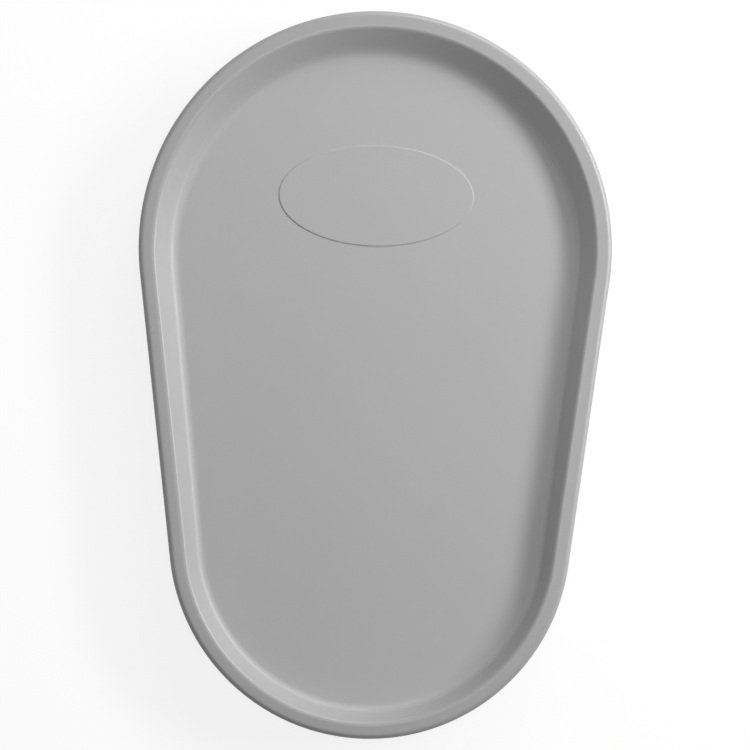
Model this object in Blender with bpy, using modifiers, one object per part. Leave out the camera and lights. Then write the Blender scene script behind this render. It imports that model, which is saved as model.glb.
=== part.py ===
"""A changing mat: a soft foam tray with a raised rim all round, moulded with its own skin.

Seen from above, the outline is two round ends joined by straight sides that touch both, a
wide end for the head and a narrow one for the feet. The tray is a loft round that outline.
The rim has the same section everywhere, but the floor has end circles of its own, so the
wall between them leans back most at the head and is steepest at the foot.

The pieces are the skin of the tray, the skin of the outer side and the underside, the foam
that fills them, and the rubber pads that the mat stands on. All sizes are in metres, +Z is
up, the head is at +Y, and the pads stand on z = 0 round the origin.
"""

import math

import bmesh
import bpy
from mathutils import Vector

# Outline of the rim
LENGTH = 0.7000
HEAD_RADIUS = 0.2277
FOOT_RADIUS = 0.1931
HEAD_Y = LENGTH / 2 - HEAD_RADIUS
FOOT_Y = FOOT_RADIUS - LENGTH / 2

# Heights
PAD_STAND_OFF = 0.0015
FLOOR_THICKNESS = 0.0275
TRAY_DEPTH = 0.0210
UNDERSIDE_Z = PAD_STAND_OFF
FLOOR_Z = UNDERSIDE_Z + FLOOR_THICKNESS
CREST_Z = FLOOR_Z + TRAY_DEPTH

# Section of the rim, the tray wall and the floor's edge. The rim is highest at its crest,
# and its top falls gently from there to the outer side.
CREST_INSET = 0.0130
CREST_ROUND = 0.0050
RIM_FALL = math.radians(2)
RIM_OUTER_ROUND = 0.0055
HEAD_FILLET = 0.0135
FOOT_FILLET = 0.0100

# The floor's end circles: how much smaller than the outline's, and how far towards the foot
FLOOR_HEAD_INSET = 0.0390
FLOOR_FOOT_INSET = 0.0330
FLOOR_HEAD_SHIFT = 0.0080
FLOOR_FOOT_SHIFT = 0.0015

# Outer side, below the line where the two halves of the mould part
PARTING_LAND = 0.0030
SIDE_TAPER = math.radians(6)
UNDERSIDE_ROUND = 0.0100

# Skins, and the gap that keeps neighbouring pieces apart
TRAY_SKIN = 0.0015
BASE_SKIN = 0.0024
CLEARANCE = 0.0003

# Raised oval near the head
OVAL_HALF_WIDTH = 0.0942
OVAL_HALF_HEIGHT = 0.0488
OVAL_FROM_HEAD_END = 0.1767
OVAL_RISE = 0.0007
OVAL_BEVEL = 0.0005
OVAL_ROOT = 0.0005
OVAL_Y = LENGTH / 2 - OVAL_FROM_HEAD_END

# Rubber pads, half sunk in round recesses under the mat
PAD_RADIUS = 0.0180
PAD_EDGE_ROUND = 0.0008
PAD_GROOVE_RADIUS = 0.0110
PAD_GROOVE_WIDTH = 0.0020
PAD_GROOVE_DEPTH = 0.0006
RECESS_DEPTH = 0.0012
PAD_THICKNESS = PAD_STAND_OFF + RECESS_DEPTH - CLEARANCE
PAD_FROM_OUTLINE = 0.0550
PAD_ANGLE = math.radians(45)
CUT_OVERRUN = 0.0020
MERGE_DISTANCE = 0.00001

# Facets
HEAD_STEPS = 32
FOOT_STEPS = 28
SIDE_STEPS = 4
ROUND_STEPS = 4
OVAL_STEPS = 56
PAD_STEPS = 32
PAD_EDGE_STEPS = 2
SMOOTH_BELOW = math.radians(35)

# Colours, as linear values, and how rough each surface is
SKIN_GREY = (0.42, 0.42, 0.42, 1)
FOAM_GREY = (0.55, 0.55, 0.54, 1)
RUBBER_GREY = (0.05, 0.05, 0.05, 1)
SKIN_ROUGHNESS = 0.55
FOAM_ROUGHNESS = 0.95
RUBBER_ROUGHNESS = 0.75


def clear_scene():
    for obj in list(bpy.data.objects):
        bpy.data.objects.remove(obj, do_unlink=True)


def new_collection(name):
    collection = bpy.data.collections.new(name)
    bpy.context.scene.collection.children.link(collection)
    return collection


def new_material(name, colour, roughness):
    material = bpy.data.materials.new(name)
    material.use_nodes = True
    shader = material.node_tree.nodes["Principled BSDF"]
    shader.inputs["Base Color"].default_value = colour
    shader.inputs["Roughness"].default_value = roughness
    shader.inputs["Metallic"].default_value = 0
    material.diffuse_color = colour
    return material


def new_piece(name, mesh, collection, material, parent):
    piece = bpy.data.objects.new(name, mesh)
    collection.objects.link(piece)
    piece.parent = parent
    if not mesh.materials:
        mesh.materials.append(material)
    return piece


def new_cutter(name, collection):
    """The primitive that was just added, as a helper that no render shows."""
    cutter = bpy.context.object
    cutter.name = name
    for holder in list(cutter.users_collection):
        holder.objects.unlink(cutter)
    collection.objects.link(cutter)
    cutter.hide_render = True
    cutter.display_type = "WIRE"
    return cutter


def add_boolean(piece, cutter, operation):
    boolean = piece.modifiers.new(cutter.name, "BOOLEAN")
    boolean.operation = operation
    boolean.solver = "EXACT"
    boolean.object = cutter


# A section is a list of (point, normal) pairs in a plane across the rim. A point is (how far
# in from the outline, height), and the normal points out of the mat. It runs from the
# underside up the outer side, over the rim and down the tray wall to the floor.


def rounded(centre, radius, start, end, hollow=False):
    """The pairs along a rounded edge or, where hollow, along a fillet."""
    pairs = []
    for step in range(ROUND_STEPS + 1):
        angle = start + (end - start) * step / ROUND_STEPS
        outward = Vector((math.cos(angle), math.sin(angle)))
        pairs.append((centre + radius * outward, -outward if hollow else outward))
    return pairs


def wall_lean(floor_inset, fillet):
    """The wall's angle from upright, at which it runs on from the crest and into the fillet."""
    run = floor_inset - CREST_INSET
    drop = TRAY_DEPTH - CREST_ROUND - fillet
    rounds = CREST_ROUND + fillet
    return math.acos(rounds / math.hypot(run, drop)) - math.atan2(drop, run)


def parting_height():
    """The middle of the rim's outer round, which the falling top runs into: the mould parts there."""
    fall = math.sin(RIM_FALL) * (CREST_INSET - RIM_OUTER_ROUND)
    growth = RIM_OUTER_ROUND - CREST_ROUND
    return CREST_Z - CREST_ROUND - (fall + growth) / math.cos(RIM_FALL)


def tray_section(floor_inset, fillet):
    lean = wall_lean(floor_inset, fillet)
    rim_top = math.pi / 2 + RIM_FALL
    outer = Vector((RIM_OUTER_ROUND, parting_height()))
    crest = Vector((CREST_INSET, CREST_Z - CREST_ROUND))
    floor_edge = Vector((floor_inset, FLOOR_Z + fillet))
    return (
        rounded(outer, RIM_OUTER_ROUND, math.pi, rim_top)
        + rounded(crest, CREST_ROUND, rim_top, lean)
        + rounded(floor_edge, fillet, math.pi + lean, math.pi * 3 / 2, hollow=True)
    )


def tray_sections():
    """The section at the head and the one at the foot."""
    head = tray_section(FLOOR_HEAD_INSET, HEAD_FILLET)
    foot = tray_section(FLOOR_FOOT_INSET, FOOT_FILLET)
    return head, foot


def base_section():
    land_top = Vector((0, parting_height() - CLEARANCE))
    land_foot = Vector((0, parting_height() - PARTING_LAND))
    round_z = UNDERSIDE_Z + UNDERSIDE_ROUND
    fall = land_foot.y - round_z
    round_inset = (UNDERSIDE_ROUND + fall * math.sin(SIDE_TAPER)) / math.cos(SIDE_TAPER)
    lower = Vector((round_inset, round_z))
    sideways = Vector((-1, 0))
    return rounded(lower, UNDERSIDE_ROUND, math.pi * 3 / 2, math.pi + SIDE_TAPER) + [
        (land_foot, sideways),
        (land_top, sideways),
    ]


def buried(section, depth):
    """The points of a section sunk below the mat's surface, each with its own place there."""
    return [(point - depth * normal, point.x) for point, normal in section]


def floor_shift(inset, floor_inset, full_shift):
    """How far an end circle has moved towards the foot: nothing at the crest, all at the floor."""
    share = (inset - CREST_INSET) / (floor_inset - CREST_INSET)
    return full_shift * min(max(share, 0), 1)


def end_arc(radius, centre_y, height, start, end, steps):
    points = []
    for step in range(steps + 1):
        angle = start + (end - start) * step / steps
        across = radius * math.cos(angle)
        along = centre_y + radius * math.sin(angle)
        points.append(Vector((across, along, height)))
    return points


def side_points(start, end):
    return [start.lerp(end, step / SIDE_STEPS) for step in range(1, SIDE_STEPS)]


def ring(head, foot):
    """A closed line round the mat through one section point at the head and one at the foot."""
    (head_point, head_place), (foot_point, foot_place) = head, foot
    head_radius = HEAD_RADIUS - head_point.x
    foot_radius = FOOT_RADIUS - foot_point.x
    head_y = HEAD_Y - floor_shift(head_place, FLOOR_HEAD_INSET, FLOOR_HEAD_SHIFT)
    foot_y = FOOT_Y - floor_shift(foot_place, FLOOR_FOOT_INSET, FLOOR_FOOT_SHIFT)
    lean = math.asin((head_radius - foot_radius) / (head_y - foot_y))
    left = math.pi + lean
    head_arc = end_arc(head_radius, head_y, head_point.y, -lean, left, HEAD_STEPS)
    foot_arc = end_arc(foot_radius, foot_y, foot_point.y, left, math.tau - lean, FOOT_STEPS)
    left_side = side_points(head_arc[-1], foot_arc[0])
    right_side = side_points(foot_arc[-1], head_arc[0])
    return head_arc + left_side + foot_arc + right_side


def rings(head_section, foot_section):
    return [ring(head, foot) for head, foot in zip(head_section, foot_section)]


def loft(name, lines, underside, floor):
    """A surface through closed lines, with the first or the last filled where that is asked."""
    mesh = bpy.data.meshes.new(name)
    shape = bmesh.new()
    loops = [[shape.verts.new(point) for point in line] for line in lines]
    count = len(loops[0])
    for lower, upper in zip(loops, loops[1:]):
        for i in range(count):
            j = (i + 1) % count
            shape.faces.new((lower[i], lower[j], upper[j], upper[i]))
    if underside:
        shape.faces.new(loops[0][::-1])
    if floor:
        shape.faces.new(loops[-1])
    shape.to_mesh(mesh)
    shape.free()
    mesh.shade_smooth()
    mesh.set_sharp_from_angle(angle=SMOOTH_BELOW)
    return mesh


def add_shell(piece, thickness):
    shell = piece.modifiers.new("skin thickness", "SOLIDIFY")
    shell.thickness = thickness
    shell.offset = -1
    shell.use_even_offset = True


def raised_oval(helpers):
    """The oval's solid: its edge slopes, and its root reaches down into the floor's skin."""
    top = OVAL_HALF_WIDTH - OVAL_BEVEL
    height = OVAL_RISE + OVAL_ROOT
    bpy.ops.mesh.primitive_cone_add(
        vertices=OVAL_STEPS,
        radius1=top + OVAL_BEVEL * height / OVAL_RISE,
        radius2=top,
        depth=height,
        location=(0, OVAL_Y, FLOOR_Z + OVAL_RISE - height / 2),
    )
    oval = new_cutter("raised_oval", helpers)
    oval.scale.y = OVAL_HALF_HEIGHT / OVAL_HALF_WIDTH
    return oval


def make_tray_skin(collection, helpers, material, parent):
    head, foot = tray_sections()
    mesh = loft("tray_skin", rings(buried(head, 0), buried(foot, 0)), underside=False, floor=True)
    skin = new_piece("tray_skin", mesh, collection, material, parent)
    add_shell(skin, TRAY_SKIN)
    add_boolean(skin, raised_oval(helpers), "UNION")


def make_base_skin(collection, helpers, material, parent):
    section = buried(base_section(), 0)
    mesh = loft("base_skin", rings(section, section), underside=True, floor=False)
    skin = new_piece("base_skin", mesh, collection, material, parent)
    add_shell(skin, BASE_SKIN)
    for place, (x, y) in pad_places().items():
        add_boolean(skin, pad_recess(place, x, y, helpers), "DIFFERENCE")


def make_foam_core(collection, material, parent):
    base = buried(base_section(), BASE_SKIN + CLEARANCE)
    under_tray = TRAY_SKIN + CLEARANCE
    head, foot = [base + buried(section, under_tray) for section in tray_sections()]
    mesh = loft("foam_core", rings(head, foot), underside=True, floor=True)
    new_piece("foam_core", mesh, collection, material, parent)


def pad_places():
    """Name to (x, y): a pair near each end and one halfway along the sides."""
    head_reach = HEAD_RADIUS - PAD_FROM_OUTLINE
    foot_reach = FOOT_RADIUS - PAD_FROM_OUTLINE
    pairs = {
        "head": (head_reach * math.sin(PAD_ANGLE), HEAD_Y + head_reach * math.cos(PAD_ANGLE)),
        "middle": ((head_reach + foot_reach) / 2, (HEAD_Y + FOOT_Y) / 2),
        "foot": (foot_reach * math.sin(PAD_ANGLE), FOOT_Y - foot_reach * math.cos(PAD_ANGLE)),
    }
    places = {}
    for end, (x, y) in pairs.items():
        places[end + "_left"] = (-x, y)
        places[end + "_right"] = (x, y)
    return places


def pad_recess(place, x, y, helpers):
    depth = RECESS_DEPTH + CUT_OVERRUN
    bpy.ops.mesh.primitive_cylinder_add(
        vertices=PAD_STEPS,
        radius=PAD_RADIUS + CLEARANCE,
        depth=depth,
        location=(x, y, UNDERSIDE_Z + RECESS_DEPTH - depth / 2),
    )
    return new_cutter("recess_" + place, helpers)


def pad_profile():
    """(radius, height) from the middle of the pad's top down its side to the middle below."""
    profile = [(0, PAD_THICKNESS), (PAD_RADIUS, PAD_THICKNESS)]
    for step in range(PAD_EDGE_STEPS + 1):
        angle = math.pi / 2 * step / PAD_EDGE_STEPS
        radius = PAD_RADIUS - PAD_EDGE_ROUND * (1 - math.cos(angle))
        profile.append((radius, PAD_EDGE_ROUND * (1 - math.sin(angle))))
    groove_in = PAD_GROOVE_RADIUS - PAD_GROOVE_WIDTH / 2
    groove_out = PAD_GROOVE_RADIUS + PAD_GROOVE_WIDTH / 2
    profile += [
        (groove_out, 0),
        (PAD_GROOVE_RADIUS, PAD_GROOVE_DEPTH),
        (groove_in, 0),
        (0, 0),
    ]
    return profile


def make_grip_pads(collection, material, parent):
    profile = pad_profile()
    mesh = bpy.data.meshes.new("grip_pad")
    points = [(radius, 0, height) for radius, height in profile]
    mesh.from_pydata(points, [(i, i + 1) for i in range(len(points) - 1)], [])
    for place, (x, y) in pad_places().items():
        pad = new_piece("grip_pad_" + place, mesh, collection, material, parent)
        pad.location = (x, y, 0)
        turn = pad.modifiers.new("turned profile", "SCREW")
        turn.steps = PAD_STEPS
        turn.render_steps = PAD_STEPS
        turn.use_merge_vertices = True
        turn.merge_threshold = MERGE_DISTANCE


def main():
    clear_scene()
    parts = new_collection("changing_mat")
    helpers = new_collection("cutters")
    root = bpy.data.objects.new("changing_mat_root", None)
    parts.objects.link(root)
    skin = new_material("moulded_skin", SKIN_GREY, SKIN_ROUGHNESS)
    foam = new_material("foam", FOAM_GREY, FOAM_ROUGHNESS)
    rubber = new_material("rubber", RUBBER_GREY, RUBBER_ROUGHNESS)
    make_tray_skin(parts, helpers, skin, root)
    make_base_skin(parts, helpers, skin, root)
    make_foam_core(parts, foam, root)
    make_grip_pads(parts, rubber, root)


main()
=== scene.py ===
"""The looks of the changing mat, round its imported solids.

The solids are faceted. Here the skins, the foam and the rubber pads are made again through
the same sections, with finer steps, a soft edge on the raised oval and moulded materials.
The photograph looks straight down at the mat, whose head end is at +Y.
"""

import math

import bmesh
import bpy
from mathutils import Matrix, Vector


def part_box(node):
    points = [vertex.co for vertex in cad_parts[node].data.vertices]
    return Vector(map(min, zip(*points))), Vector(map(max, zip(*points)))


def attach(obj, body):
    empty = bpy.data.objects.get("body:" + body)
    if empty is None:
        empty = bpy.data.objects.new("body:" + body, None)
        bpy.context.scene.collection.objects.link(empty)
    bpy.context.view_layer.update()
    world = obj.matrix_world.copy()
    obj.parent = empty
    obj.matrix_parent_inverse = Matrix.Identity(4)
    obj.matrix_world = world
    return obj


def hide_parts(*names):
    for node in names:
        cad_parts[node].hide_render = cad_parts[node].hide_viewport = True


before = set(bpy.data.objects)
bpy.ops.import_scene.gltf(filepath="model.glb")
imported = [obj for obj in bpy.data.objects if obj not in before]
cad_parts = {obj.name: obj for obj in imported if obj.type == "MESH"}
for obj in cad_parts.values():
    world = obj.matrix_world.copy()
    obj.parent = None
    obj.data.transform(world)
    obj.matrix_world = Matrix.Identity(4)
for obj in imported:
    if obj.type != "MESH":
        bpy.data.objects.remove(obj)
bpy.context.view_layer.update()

# The part's own sizes, in metres and radians
LENGTH = 0.7000
HEAD_RADIUS = 0.2277
FOOT_RADIUS = 0.1931
HEAD_Y = LENGTH / 2 - HEAD_RADIUS
FOOT_Y = FOOT_RADIUS - LENGTH / 2
GROUND_Z = 0
PAD_STAND_OFF = 0.0015
FLOOR_THICKNESS = 0.0275
TRAY_DEPTH = 0.0210
UNDERSIDE_Z = GROUND_Z + PAD_STAND_OFF
FLOOR_Z = UNDERSIDE_Z + FLOOR_THICKNESS
CREST_Z = FLOOR_Z + TRAY_DEPTH
CREST_INSET = 0.0130
CREST_ROUND = 0.0050
RIM_FALL = math.radians(2)
RIM_OUTER_ROUND = 0.0055
HEAD_FILLET = 0.0135
FOOT_FILLET = 0.0100
FLOOR_HEAD_INSET = 0.0390
FLOOR_FOOT_INSET = 0.0330
FLOOR_HEAD_SHIFT = 0.0080
FLOOR_FOOT_SHIFT = 0.0015
PARTING_LAND = 0.0030
SIDE_TAPER = math.radians(6)
UNDERSIDE_ROUND = 0.0100
TRAY_SKIN = 0.0015
BASE_SKIN = 0.0024
CLEARANCE = 0.0003
OVAL_HALF_WIDTH = 0.0942
OVAL_HALF_HEIGHT = 0.0488
OVAL_FROM_HEAD_END = 0.1767
OVAL_RISE = 0.0007
OVAL_BEVEL = 0.0005
OVAL_Y = LENGTH / 2 - OVAL_FROM_HEAD_END
PAD_RADIUS = 0.0180
PAD_EDGE_ROUND = 0.0008
PAD_GROOVE_RADIUS = 0.0110
PAD_GROOVE_WIDTH = 0.0020
PAD_GROOVE_DEPTH = 0.0006
RECESS_DEPTH = 0.0012
PAD_THICKNESS = PAD_STAND_OFF + RECESS_DEPTH - CLEARANCE
CUT_OVERRUN = 0.0020

# How fine the meshes are
HEAD_STEPS = 128
FOOT_STEPS = 112
SIDE_STEPS = 40
ROUND_STEPS = 10
RIM_TOP_STEPS = 4
WALL_STEPS = 8
FLOOR_SHARES = (0.01, 0.2, 0.4, 0.6, 0.8, 0.995)
OVAL_EDGE_STEPS = 8
FLAT_MARGIN = 0.0010
PAD_STEPS = 96
PAD_EDGE_STEPS = 6
SMOOTH_BELOW = math.radians(50)

# Camera, which looks straight down from CAMERA_ABOVE_OUTLINE over the mat's widest line. In the
# picture the mat is MAT_PX long, and its middle lies MAT_LEFT_PX left of the picture's own.
CAMERA_ABOVE_OUTLINE = 2.8
PICTURE_PX = 750
MAT_PX = 727.8
METRES_PER_PX = LENGTH / MAT_PX
MAT_LEFT_PX = 2.2
CAMERA_ROLL = math.radians(1.13)
SENSOR_MM = 36

# Skin, with grey and roughness from 0 to 1 and lengths in metres. The top of the rim, down to
# HANDLED_DEPTH below its crest, is a little smoother, because hands rest there, and a little darker.
# The tray's floor and oval are matt, and a little paler as a painted reflection that stands in for
# the reflection the satin finish would give there; they fade into the satin fillet above them.
SKIN_GREY = 0.428
SKIN_ROUGHNESS = (0.35, 0.41)
SKIN_IOR = 1.47
RUBBED_PALER = 0.02
RUBBED_ROUGHER = 0.08
HANDLED_DEPTH = 0.0020
# How much darker the tone of the rim's top band is drawn
RIM_BAND_DARKER = 0.025
HANDLED_SMOOTHER = 0.09
# Painted reflection: the matt floor's tone is this much paler, in place of the reflection its satin
# finish would give
FLOOR_PAINTED_REFLECTION = 0.034
FLOOR_ROUGHER = 0.24
FLOOR_FADE_FROM = 0.0008
FLOOR_FADE_TO = 0.0014
RIPPLE_DEPTH = 0.0001
PEBBLE_DEPTH = 0.000035
GRAIN_DEPTH = 0.00002

# Foam and rubber
# Foam grey in the middle of a pore, darker as painted shade, and on the cell walls
FOAM_GREY = (0.40, 0.60)
FOAM_ROUGHNESS = (0.98, 0.90)
FOAM_CELL_DEPTH = 0.0003
RUBBER_GREY = 0.045
RUBBER_DUST = (0, 0.03)
RUBBER_RUBBED_PALER = 0.03
RUBBER_ROUGHNESS = (0.66, 0.82)
RUBBER_GRAIN_DEPTH = 0.00004

# The stretches of a pattern's values that the materials use
WHOLE_RANGE = (0, 1)
NOISE_RANGE = (0.3, 0.7)
SCUFF_RANGE = (0.56, 0.70)
DUST_RANGE = (0.45, 0.75)
FOAM_WALL_RANGE = (0.2, 0.7)
FOAM_PORE_RANGE = (0, 0.8)
EDGE_RANGE = (0.51, 0.56)

# The studio's floor, and the even light from the world
STUDIO_FLOOR_SIDE = 12
STUDIO_FLOOR_GREY = 0.22
STUDIO_FLOOR_GLOW = 0.82
FILL_LEVEL = 0.13

# Lamps: where each stands as seen from the mat, how wide it is, and how bright a white surface
# that faces it looks by its light alone
LAMP_DISTANCE = 2.3
KEY_AZIMUTH = math.radians(21)
KEY_ELEVATION = math.radians(28.5)
KEY_WIDTH = 2.0
KEY_HEIGHT = 0.4
KEY_LEVEL = 0.90
HEAD_AZIMUTH = math.radians(74)
HEAD_ELEVATION = math.radians(29)
HEAD_WIDTH = 1.0
HEAD_LEVEL = 0.34
FAR_AZIMUTH = math.radians(165)
FAR_ELEVATION = math.radians(32)
FAR_WIDTH = 0.6
FAR_LEVEL = 0.06
TOP_WIDTH = 0.6
TOP_LEVEL = 0.12


# A section is a list of (point, normal) pairs in a plane across the rim. A point is (how far
# in from the outline, height), and the normal points out of the mat.


def straight(start, end, steps):
    """The pairs between two pairs on one straight run, without its ends."""
    (start_point, normal), (end_point, _) = start, end
    return [(start_point.lerp(end_point, step / steps), normal) for step in range(1, steps)]


def rounded(centre, radius, start, end, hollow=False):
    """The pairs along a rounded edge or, where hollow, along a fillet."""
    pairs = []
    for step in range(ROUND_STEPS + 1):
        angle = start + (end - start) * step / ROUND_STEPS
        outward = Vector((math.cos(angle), math.sin(angle)))
        pairs.append((centre + radius * outward, -outward if hollow else outward))
    return pairs


def wall_lean(floor_inset, fillet):
    """The wall's angle from upright, at which it runs on from the crest and into the fillet."""
    run = floor_inset - CREST_INSET
    drop = TRAY_DEPTH - CREST_ROUND - fillet
    rounds = CREST_ROUND + fillet
    return math.acos(rounds / math.hypot(run, drop)) - math.atan2(drop, run)


def parting_height():
    """The middle of the rim's outer round, which the falling top runs into."""
    fall = math.sin(RIM_FALL) * (CREST_INSET - RIM_OUTER_ROUND)
    growth = RIM_OUTER_ROUND - CREST_ROUND
    return CREST_Z - CREST_ROUND - (fall + growth) / math.cos(RIM_FALL)


def tray_section(floor_inset, fillet_radius):
    lean = wall_lean(floor_inset, fillet_radius)
    rim_top = math.pi / 2 + RIM_FALL
    outer_centre = Vector((RIM_OUTER_ROUND, parting_height()))
    crest_centre = Vector((CREST_INSET, CREST_Z - CREST_ROUND))
    fillet_centre = Vector((floor_inset, FLOOR_Z + fillet_radius))
    outer = rounded(outer_centre, RIM_OUTER_ROUND, math.pi, rim_top)
    crest = rounded(crest_centre, CREST_ROUND, rim_top, lean)
    fillet = rounded(fillet_centre, fillet_radius, math.pi + lean, math.pi * 3 / 2, hollow=True)
    rim_top_run = straight(outer[-1], crest[0], RIM_TOP_STEPS)
    wall_run = straight(crest[-1], fillet[0], WALL_STEPS)
    return outer + rim_top_run + crest + wall_run + fillet


def tray_sections():
    """The section at the head and the one at the foot."""
    head = tray_section(FLOOR_HEAD_INSET, HEAD_FILLET)
    foot = tray_section(FLOOR_FOOT_INSET, FOOT_FILLET)
    return head, foot


def base_section():
    land_top = Vector((0, parting_height() - CLEARANCE))
    land_foot = Vector((0, parting_height() - PARTING_LAND))
    round_z = UNDERSIDE_Z + UNDERSIDE_ROUND
    fall = land_foot.y - round_z
    round_inset = (UNDERSIDE_ROUND + fall * math.sin(SIDE_TAPER)) / math.cos(SIDE_TAPER)
    lower = Vector((round_inset, round_z))
    sideways = Vector((-1, 0))
    edge = rounded(lower, UNDERSIDE_ROUND, math.pi * 3 / 2, math.pi + SIDE_TAPER)
    foot = (land_foot, sideways)
    flat = (Vector((round_inset + FLAT_MARGIN, UNDERSIDE_Z)), Vector((0, -1)))
    side = straight(edge[-1], foot, WALL_STEPS)
    return [flat] + edge + side + [foot, (land_top, sideways)]


def buried(section, depth):
    """The points of a section sunk below the mat's surface, each with its own place there."""
    return [(point - depth * normal, point.x) for point, normal in section]


def floor_shift(inset, floor_inset, full_shift):
    """How far an end circle has moved towards the foot: nothing at the crest, all at the floor."""
    share = (inset - CREST_INSET) / (floor_inset - CREST_INSET)
    return full_shift * min(max(share, 0), 1)


def end_arc(radius, centre_y, height, start, end, steps):
    points = []
    for step in range(steps + 1):
        angle = start + (end - start) * step / steps
        across = radius * math.cos(angle)
        along = centre_y + radius * math.sin(angle)
        points.append(Vector((across, along, height)))
    return points


def side_points(start, end):
    return [start.lerp(end, step / SIDE_STEPS) for step in range(1, SIDE_STEPS)]


def ring(head, foot):
    """A closed line round the mat through one section point at the head and one at the foot."""
    (head_point, head_place), (foot_point, foot_place) = head, foot
    head_radius = HEAD_RADIUS - head_point.x
    foot_radius = FOOT_RADIUS - foot_point.x
    head_y = HEAD_Y - floor_shift(head_place, FLOOR_HEAD_INSET, FLOOR_HEAD_SHIFT)
    foot_y = FOOT_Y - floor_shift(foot_place, FLOOR_FOOT_INSET, FLOOR_FOOT_SHIFT)
    lean = math.asin((head_radius - foot_radius) / (head_y - foot_y))
    left = math.pi + lean
    head_arc = end_arc(head_radius, head_y, head_point.y, -lean, left, HEAD_STEPS)
    foot_arc = end_arc(foot_radius, foot_y, foot_point.y, left, math.tau - lean, FOOT_STEPS)
    left_side = side_points(head_arc[-1], foot_arc[0])
    right_side = side_points(foot_arc[-1], head_arc[0])
    return head_arc + left_side + foot_arc + right_side


def rings(head_section, foot_section):
    return [ring(head, foot) for head, foot in zip(head_section, foot_section)]


def floor_rings(floor_edge):
    """Lines on the floor from its edge in to the raised oval, over its soft edge and onto its top."""
    centre = Vector((0, OVAL_Y, FLOOR_Z))
    oval_foot = [oval_point(point - centre, 0, 0) for point in floor_edge]
    lines = []
    for share in FLOOR_SHARES:
        lines.append([outer.lerp(inner, share) for outer, inner in zip(floor_edge, oval_foot)])
    for step in range(OVAL_EDGE_STEPS + 1):
        share = step / OVAL_EDGE_STEPS
        rise = OVAL_RISE * (1 - math.cos(math.pi * share)) / 2
        inset = OVAL_BEVEL * share
        lines.append([oval_point(point - centre, inset, rise) for point in floor_edge])
    flat_inset = OVAL_BEVEL + FLAT_MARGIN
    lines.append([oval_point(point - centre, flat_inset, OVAL_RISE) for point in floor_edge])
    return lines


def oval_point(towards, inset, rise):
    """The oval's point in one direction from its middle, some way in from its edge and up."""
    width = OVAL_HALF_WIDTH - inset
    height = OVAL_HALF_HEIGHT - inset
    reach = 1 / math.hypot(towards.x / width, towards.y / height)
    return Vector((towards.x * reach, OVAL_Y + towards.y * reach, FLOOR_Z + rise))


def loft(name, lines, fill_first, fill_last):
    """A surface through closed lines, with the first or the last filled where that is asked."""
    mesh = bpy.data.meshes.new(name)
    shape = bmesh.new()
    loops = [[shape.verts.new(point) for point in line] for line in lines]
    count = len(loops[0])
    for lower, upper in zip(loops, loops[1:]):
        for i in range(count):
            j = (i + 1) % count
            shape.faces.new((lower[i], lower[j], upper[j], upper[i]))
    if fill_first:
        shape.faces.new(loops[0][::-1])
    if fill_last:
        shape.faces.new(loops[-1])
    shape.to_mesh(mesh)
    shape.free()
    mesh.shade_smooth()
    mesh.set_sharp_from_angle(angle=SMOOTH_BELOW)
    return mesh


def new_piece(name, mesh, material, slot, *nodes):
    """A piece that rides on the mat's one body, in place of CAD nodes."""
    piece = bpy.data.objects.new(name, mesh)
    bpy.context.scene.collection.objects.link(piece)
    mesh.materials.clear()
    mesh.materials.append(material)
    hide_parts(*nodes)
    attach(piece, "root")
    return piece


def add_shell(piece, thickness):
    shell = piece.modifiers.new("skin thickness", "SOLIDIFY")
    shell.thickness = thickness
    shell.offset = -1
    shell.use_even_offset = True


def make_tray_skin(material):
    head, foot = tray_sections()
    lines = rings(buried(head, 0), buried(foot, 0))
    lines += floor_rings(lines[-1])
    mesh = loft("tray_skin_moulded", lines, fill_first=False, fill_last=True)
    skin = new_piece("tray_skin_moulded", mesh, material, "moulded_skin", "tray_skin")
    add_shell(skin, TRAY_SKIN)


def pad_centres():
    """Name to (x, y) of each grip pad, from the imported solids."""
    centres = {}
    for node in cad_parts:
        if node.startswith("grip_pad_"):
            low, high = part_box(node)
            centres[node] = ((low.x + high.x) / 2, (low.y + high.y) / 2)
    return centres


def new_recess(node, x, y):
    depth = RECESS_DEPTH + CUT_OVERRUN
    bpy.ops.mesh.primitive_cylinder_add(
        vertices=PAD_STEPS,
        radius=PAD_RADIUS + CLEARANCE,
        depth=depth,
        location=(x, y, UNDERSIDE_Z + RECESS_DEPTH - depth / 2),
    )
    cutter = bpy.context.object
    cutter.name = "recess_" + node
    return cutter


def make_base_skin(material):
    section = buried(base_section(), 0)
    mesh = loft("base_skin_moulded", rings(section, section), fill_first=True, fill_last=False)
    skin = new_piece("base_skin_moulded", mesh, material, "moulded_skin", "base_skin")
    add_shell(skin, BASE_SKIN)
    cutters = [new_recess(node, x, y) for node, (x, y) in pad_centres().items()]
    for cutter in cutters:
        cut = skin.modifiers.new(cutter.name, "BOOLEAN")
        cut.operation = "DIFFERENCE"
        cut.solver = "EXACT"
        cut.object = cutter
    graph = bpy.context.evaluated_depsgraph_get()
    whole = bpy.data.meshes.new_from_object(skin.evaluated_get(graph), depsgraph=graph)
    skin.modifiers.clear()
    skin.data = whole
    whole.set_sharp_from_angle(angle=SMOOTH_BELOW)
    for cutter in cutters:
        bpy.data.objects.remove(cutter, do_unlink=True)


def make_foam_core(material):
    base = buried(base_section(), BASE_SKIN + CLEARANCE)
    under_tray = TRAY_SKIN + CLEARANCE
    head, foot = [base + buried(section, under_tray) for section in tray_sections()]
    mesh = loft("foam_core_moulded", rings(head, foot), fill_first=True, fill_last=True)
    core = new_piece("foam_core_moulded", mesh, material, "foam", "foam_core")


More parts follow.
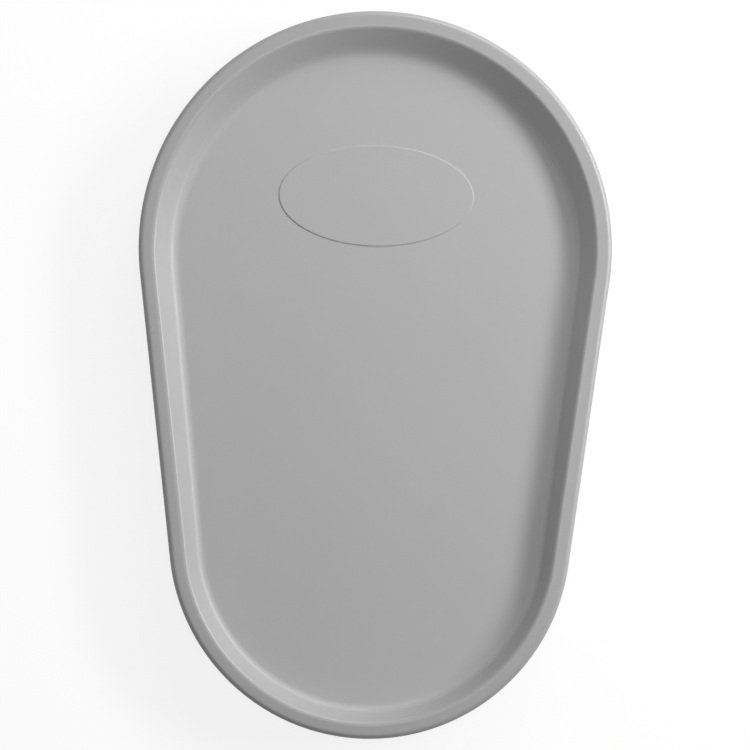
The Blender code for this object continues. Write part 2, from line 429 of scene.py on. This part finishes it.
def pad_profile():
    """(radius, height) from the middle of the pad's top down its side to the middle below."""
    profile = [(0, PAD_THICKNESS), (PAD_RADIUS, PAD_THICKNESS)]
    for step in range(PAD_EDGE_STEPS + 1):
        angle = math.pi / 2 * step / PAD_EDGE_STEPS
        radius = PAD_RADIUS - PAD_EDGE_ROUND * (1 - math.cos(angle))
        profile.append((radius, PAD_EDGE_ROUND * (1 - math.sin(angle))))
    groove_steps = 2 * PAD_EDGE_STEPS
    for step in range(groove_steps + 1):
        share = step / groove_steps
        radius = PAD_GROOVE_RADIUS + PAD_GROOVE_WIDTH * (0.5 - share)
        profile.append((radius, PAD_GROOVE_DEPTH * math.sin(math.pi * share)))
    profile.append((0, 0))
    return profile


def turned(name, profile):
    """A closed mesh turned about the upright axis, its first and last points on the axis."""
    mesh = bpy.data.meshes.new(name)
    shape = bmesh.new()
    top = shape.verts.new((0, 0, profile[0][1]))
    bottom = shape.verts.new((0, 0, profile[-1][1]))
    loops = []
    for radius, height in profile[1:-1]:
        turns = [math.tau * step / PAD_STEPS for step in range(PAD_STEPS)]
        points = [(radius * math.cos(turn), radius * math.sin(turn), height) for turn in turns]
        loops.append([shape.verts.new(point) for point in points])
    for i in range(PAD_STEPS):
        j = (i + 1) % PAD_STEPS
        shape.faces.new((top, loops[0][i], loops[0][j]))
        shape.faces.new((bottom, loops[-1][j], loops[-1][i]))
        for upper, lower in zip(loops, loops[1:]):
            shape.faces.new((upper[i], lower[i], lower[j], upper[j]))
    shape.to_mesh(mesh)
    shape.free()
    mesh.shade_smooth()
    mesh.set_sharp_from_angle(angle=SMOOTH_BELOW)
    return mesh


def make_grip_pads(material):
    mesh = turned("grip_pad_moulded", pad_profile())
    for node, (x, y) in pad_centres().items():
        pad = new_piece(node + "_moulded", mesh, material, "rubber", node)
        pad.location = (x, y, 0)


def new_material(name):
    material = bpy.data.materials.new(name)
    material.use_nodes = True
    return material, material.node_tree


def set_input(tree, socket, value):
    """Sets a socket, or links it where the value is another node's output."""
    if isinstance(value, bpy.types.NodeSocket):
        tree.links.new(value, socket)
    else:
        socket.default_value = value


def add_node(tree, kind, **inputs):
    node = tree.nodes.new(kind)
    for name, value in inputs.items():
        set_input(tree, node.inputs[name.replace("_", " ")], value)
    return node


def noise(tree, place, per_metre, octaves):
    """Soft noise from 0 to 1."""
    return add_node(
        tree, "ShaderNodeTexNoise", Vector=place, Scale=per_metre, Detail=octaves
    ).outputs["Fac"]


def cells(tree, place, per_metre):
    """Rounded cells: 0 in the middle of each, more at its edge."""
    return add_node(
        tree, "ShaderNodeTexVoronoi", Vector=place, Scale=per_metre
    ).outputs["Distance"]


def mapped(tree, value, source, target=WHOLE_RANGE):
    """value moved from one range to another, and held at its ends."""
    return add_node(
        tree,
        "ShaderNodeMapRange",
        Value=value,
        From_Min=source[0],
        From_Max=source[1],
        To_Min=target[0],
        To_Max=target[1],
    ).outputs["Result"]


def varied(tree, place, per_metre, octaves, target):
    """A value that drifts softly over the surface, within a range."""
    return mapped(tree, noise(tree, place, per_metre, octaves), NOISE_RANGE, target)


def worked(tree, operation, first, second):
    node = tree.nodes.new("ShaderNodeMath")
    node.operation = operation
    set_input(tree, node.inputs[0], first)
    set_input(tree, node.inputs[1], second)
    return node.outputs["Value"]


def total(tree, *values):
    """The sum of numbers and other nodes' outputs."""
    result = values[0]
    for value in values[1:]:
        result = worked(tree, "ADD", result, value)
    return result


def product(tree, first, second):
    return worked(tree, "MULTIPLY", first, second)


def bumped(tree, height, depth, under=None):
    """A normal for that height map, depth metres deep, on top of another normal."""
    node = add_node(tree, "ShaderNodeBump", Height=height, Distance=depth)
    if under:
        tree.links.new(under, node.inputs["Normal"])
    return node.outputs["Normal"]


def object_place(tree):
    return tree.nodes.new("ShaderNodeTexCoord").outputs["Object"]


def edges_of(tree):
    """From 0 on flat and hollow places to 1 on the roundest edges."""
    pointed = tree.nodes.new("ShaderNodeNewGeometry").outputs["Pointiness"]
    return mapped(tree, pointed, EDGE_RANGE)


def seen_plainly(tree):
    """1 for what the camera sees itself, mirrored or through something clear, and else 0."""
    rays = tree.nodes.new("ShaderNodeLightPath").outputs
    seen = worked(tree, "MAXIMUM", rays["Is Camera Ray"], rays["Is Glossy Ray"])
    return worked(tree, "MAXIMUM", seen, rays["Is Transmission Ray"])


def set_finish(tree, tone, roughness, normal):
    shader = tree.nodes["Principled BSDF"]
    set_input(tree, shader.inputs["Base Color"], tone)
    set_input(tree, shader.inputs["Roughness"], roughness)
    set_input(tree, shader.inputs["Normal"], normal)
    return shader


def skin_tone(tree, place, rubbed, rim_band, on_floor):
    drift = varied(tree, place, per_metre=7, octaves=2, target=(-0.004, 0.004))
    mottle = varied(tree, place, per_metre=160, octaves=3, target=(-0.003, 0.003))
    paler = product(tree, rubbed, RUBBED_PALER)
    darker = product(tree, rim_band, RIM_BAND_DARKER)
    # Painted reflection: the matt floor and oval are drawn paler
    floor_matt_and_painted_reflection = product(tree, on_floor, FLOOR_PAINTED_REFLECTION)
    return worked(tree, "SUBTRACT", total(tree, drift, mottle, SKIN_GREY, paler, floor_matt_and_painted_reflection), darker)


def skin_roughness(tree, place, rubbed, rim_band, on_floor):
    patches = varied(tree, place, per_metre=30, octaves=4, target=SKIN_ROUGHNESS)
    rougher = product(tree, rubbed, RUBBED_ROUGHER)
    smoother = product(tree, rim_band, HANDLED_SMOOTHER)
    floor_matt_and_painted_reflection = product(tree, on_floor, FLOOR_ROUGHER)
    return worked(tree, "SUBTRACT", total(tree, patches, rougher, floor_matt_and_painted_reflection), smoother)


def skin_grain(tree, place):
    """Shallow ripples, pebbles on them, and the finest grain on the pebbles."""
    ripples = bumped(tree, noise(tree, place, per_metre=22, octaves=2), RIPPLE_DEPTH)
    pebbles = bumped(tree, cells(tree, place, per_metre=1500), PEBBLE_DEPTH, ripples)
    return bumped(tree, noise(tree, place, per_metre=5200, octaves=4), GRAIN_DEPTH, pebbles)


def skin_material(name, floor_z):
    """Moulded polyurethane skin: satin and pebbled, rubbed on its edges, and smoother and a little
    darker on the top of the rim. It is matt, and paler with a painted reflection, on and below a
    floor at height floor_z, where it has one."""
    material, tree = new_material(name)
    place = object_place(tree)
    scuffs = mapped(tree, noise(tree, place, per_metre=420, octaves=5), SCUFF_RANGE)
    rubbed = product(tree, edges_of(tree), scuffs)
    height = add_node(tree, "ShaderNodeSeparateXYZ", Vector=place).outputs["Z"]
    rim_range = (CREST_Z - HANDLED_DEPTH, CREST_Z - HANDLED_DEPTH / 2)
    rim_band = mapped(tree, height, rim_range)
    fade_range = (floor_z + FLOOR_FADE_FROM, floor_z + FLOOR_FADE_TO)
    on_floor = mapped(tree, height, fade_range, (1, 0))
    tone = skin_tone(tree, place, rubbed, rim_band, on_floor)
    roughness = skin_roughness(tree, place, rubbed, rim_band, on_floor)
    shader = set_finish(tree, tone, roughness, skin_grain(tree, place))
    shader.inputs["IOR"].default_value = SKIN_IOR
    return material


def foam_material():
    """Open-cell polyurethane foam, pale and rough, with painted shade in its pores."""
    material, tree = new_material("foam_finish")
    place = object_place(tree)
    pores = cells(tree, place, per_metre=1900)
    # Painted shade: the middle of each pore is drawn darker than the cell walls around it
    pore_shaded_grey = mapped(tree, pores, FOAM_WALL_RANGE, FOAM_GREY)
    clouds = varied(tree, place, per_metre=12, octaves=2, target=(-0.02, 0.02))
    roughness = mapped(tree, pores, FOAM_PORE_RANGE, FOAM_ROUGHNESS)
    set_finish(tree, total(tree, pore_shaded_grey, clouds), roughness, bumped(tree, pores, FOAM_CELL_DEPTH))
    return material


def rubber_material():
    """Black rubber pads: matt, faintly dusty, with a moulded grain and rubbed edges."""
    material, tree = new_material("rubber_finish")
    place = object_place(tree)
    dust = mapped(tree, noise(tree, place, per_metre=240, octaves=5), DUST_RANGE, RUBBER_DUST)
    rubbed = product(tree, edges_of(tree), RUBBER_RUBBED_PALER)
    roughness = varied(tree, place, per_metre=500, octaves=3, target=RUBBER_ROUGHNESS)
    grain = bumped(tree, noise(tree, place, per_metre=2600, octaves=4), RUBBER_GRAIN_DEPTH)
    set_finish(tree, total(tree, dust, rubbed, RUBBER_GREY), roughness, grain)
    return material


def make_camera():
    data = bpy.data.cameras.new("camera")
    data.sensor_width = SENSOR_MM
    data.lens = SENSOR_MM * CAMERA_ABOVE_OUTLINE / (PICTURE_PX * METRES_PER_PX)
    camera = bpy.data.objects.new("camera", data)
    bpy.context.scene.collection.objects.link(camera)
    right = Vector((math.cos(CAMERA_ROLL), math.sin(CAMERA_ROLL), 0))
    camera.location = right * MAT_LEFT_PX * METRES_PER_PX
    camera.location.z = parting_height() + CAMERA_ABOVE_OUTLINE
    camera.rotation_euler.z = CAMERA_ROLL
    bpy.context.scene.camera = camera


def make_floor():
    """A grey floor that glows where it is seen, so that it shows white but for the shadow."""
    bpy.ops.mesh.primitive_plane_add(size=STUDIO_FLOOR_SIDE)
    floor = bpy.context.object
    floor.name = "studio_floor"
    material, tree = new_material("studio_floor_finish")
    shader = tree.nodes["Principled BSDF"]
    grey = (STUDIO_FLOOR_GREY, STUDIO_FLOOR_GREY, STUDIO_FLOOR_GREY, 1)
    shader.inputs["Base Color"].default_value = grey
    shader.inputs["Roughness"].default_value = 1
    shader.inputs["Specular IOR Level"].default_value = 0
    shader.inputs["Emission Color"].default_value = (1, 1, 1, 1)
    glow = product(tree, seen_plainly(tree), STUDIO_FLOOR_GLOW)
    set_input(tree, shader.inputs["Emission Strength"], glow)
    floor.data.materials.append(material)


def new_lamp(name, azimuth, elevation, width, height, level):
    """A softbox aimed at the mat. Its watts follow from how bright it makes a white surface."""
    data = bpy.data.lights.new(name, "AREA")
    data.shape = "RECTANGLE"
    data.size = width
    data.size_y = height
    data.energy = level * (math.pi * LAMP_DISTANCE) ** 2
    lamp = bpy.data.objects.new(name, data)
    bpy.context.scene.collection.objects.link(lamp)
    towards = Vector()
    towards.x = math.cos(azimuth) * math.cos(elevation)
    towards.y = math.sin(azimuth) * math.cos(elevation)
    towards.z = math.sin(elevation)
    lamp.location = towards * LAMP_DISTANCE
    lamp.rotation_euler = (math.pi / 2 - elevation, 0, azimuth + math.pi / 2)
    lamp.visible_camera = False


def make_lamps():
    new_lamp("key_softbox", KEY_AZIMUTH, KEY_ELEVATION, KEY_WIDTH, KEY_HEIGHT, KEY_LEVEL)
    new_lamp("head_softbox", HEAD_AZIMUTH, HEAD_ELEVATION, HEAD_WIDTH, HEAD_WIDTH, HEAD_LEVEL)
    new_lamp("far_softbox", FAR_AZIMUTH, FAR_ELEVATION, FAR_WIDTH, FAR_WIDTH, FAR_LEVEL)
    new_lamp("top_softbox", 0, math.pi / 2, TOP_WIDTH, TOP_WIDTH, TOP_LEVEL)


def make_world():
    """White where it is seen, and an even, dim light for the rest."""
    world = bpy.data.worlds.new("studio")
    world.use_nodes = True
    tree = world.node_tree
    background = tree.nodes["Background"]
    background.inputs["Color"].default_value = (1, 1, 1, 1)
    strength = mapped(tree, seen_plainly(tree), WHOLE_RANGE, (FILL_LEVEL, 1))
    set_input(tree, background.inputs["Strength"], strength)
    bpy.context.scene.world = world


make_tray_skin(skin_material("tray_skin_finish", FLOOR_Z))
# All of the base skin is higher than a floor on the ground, so it has no matt stretch
make_base_skin(skin_material("base_skin_finish", GROUND_Z))
make_foam_core(foam_material())
make_grip_pads(rubber_material())
make_camera()
make_floor()
make_lamps()
make_world()
bpy.context.scene.view_settings.view_transform = "Standard"
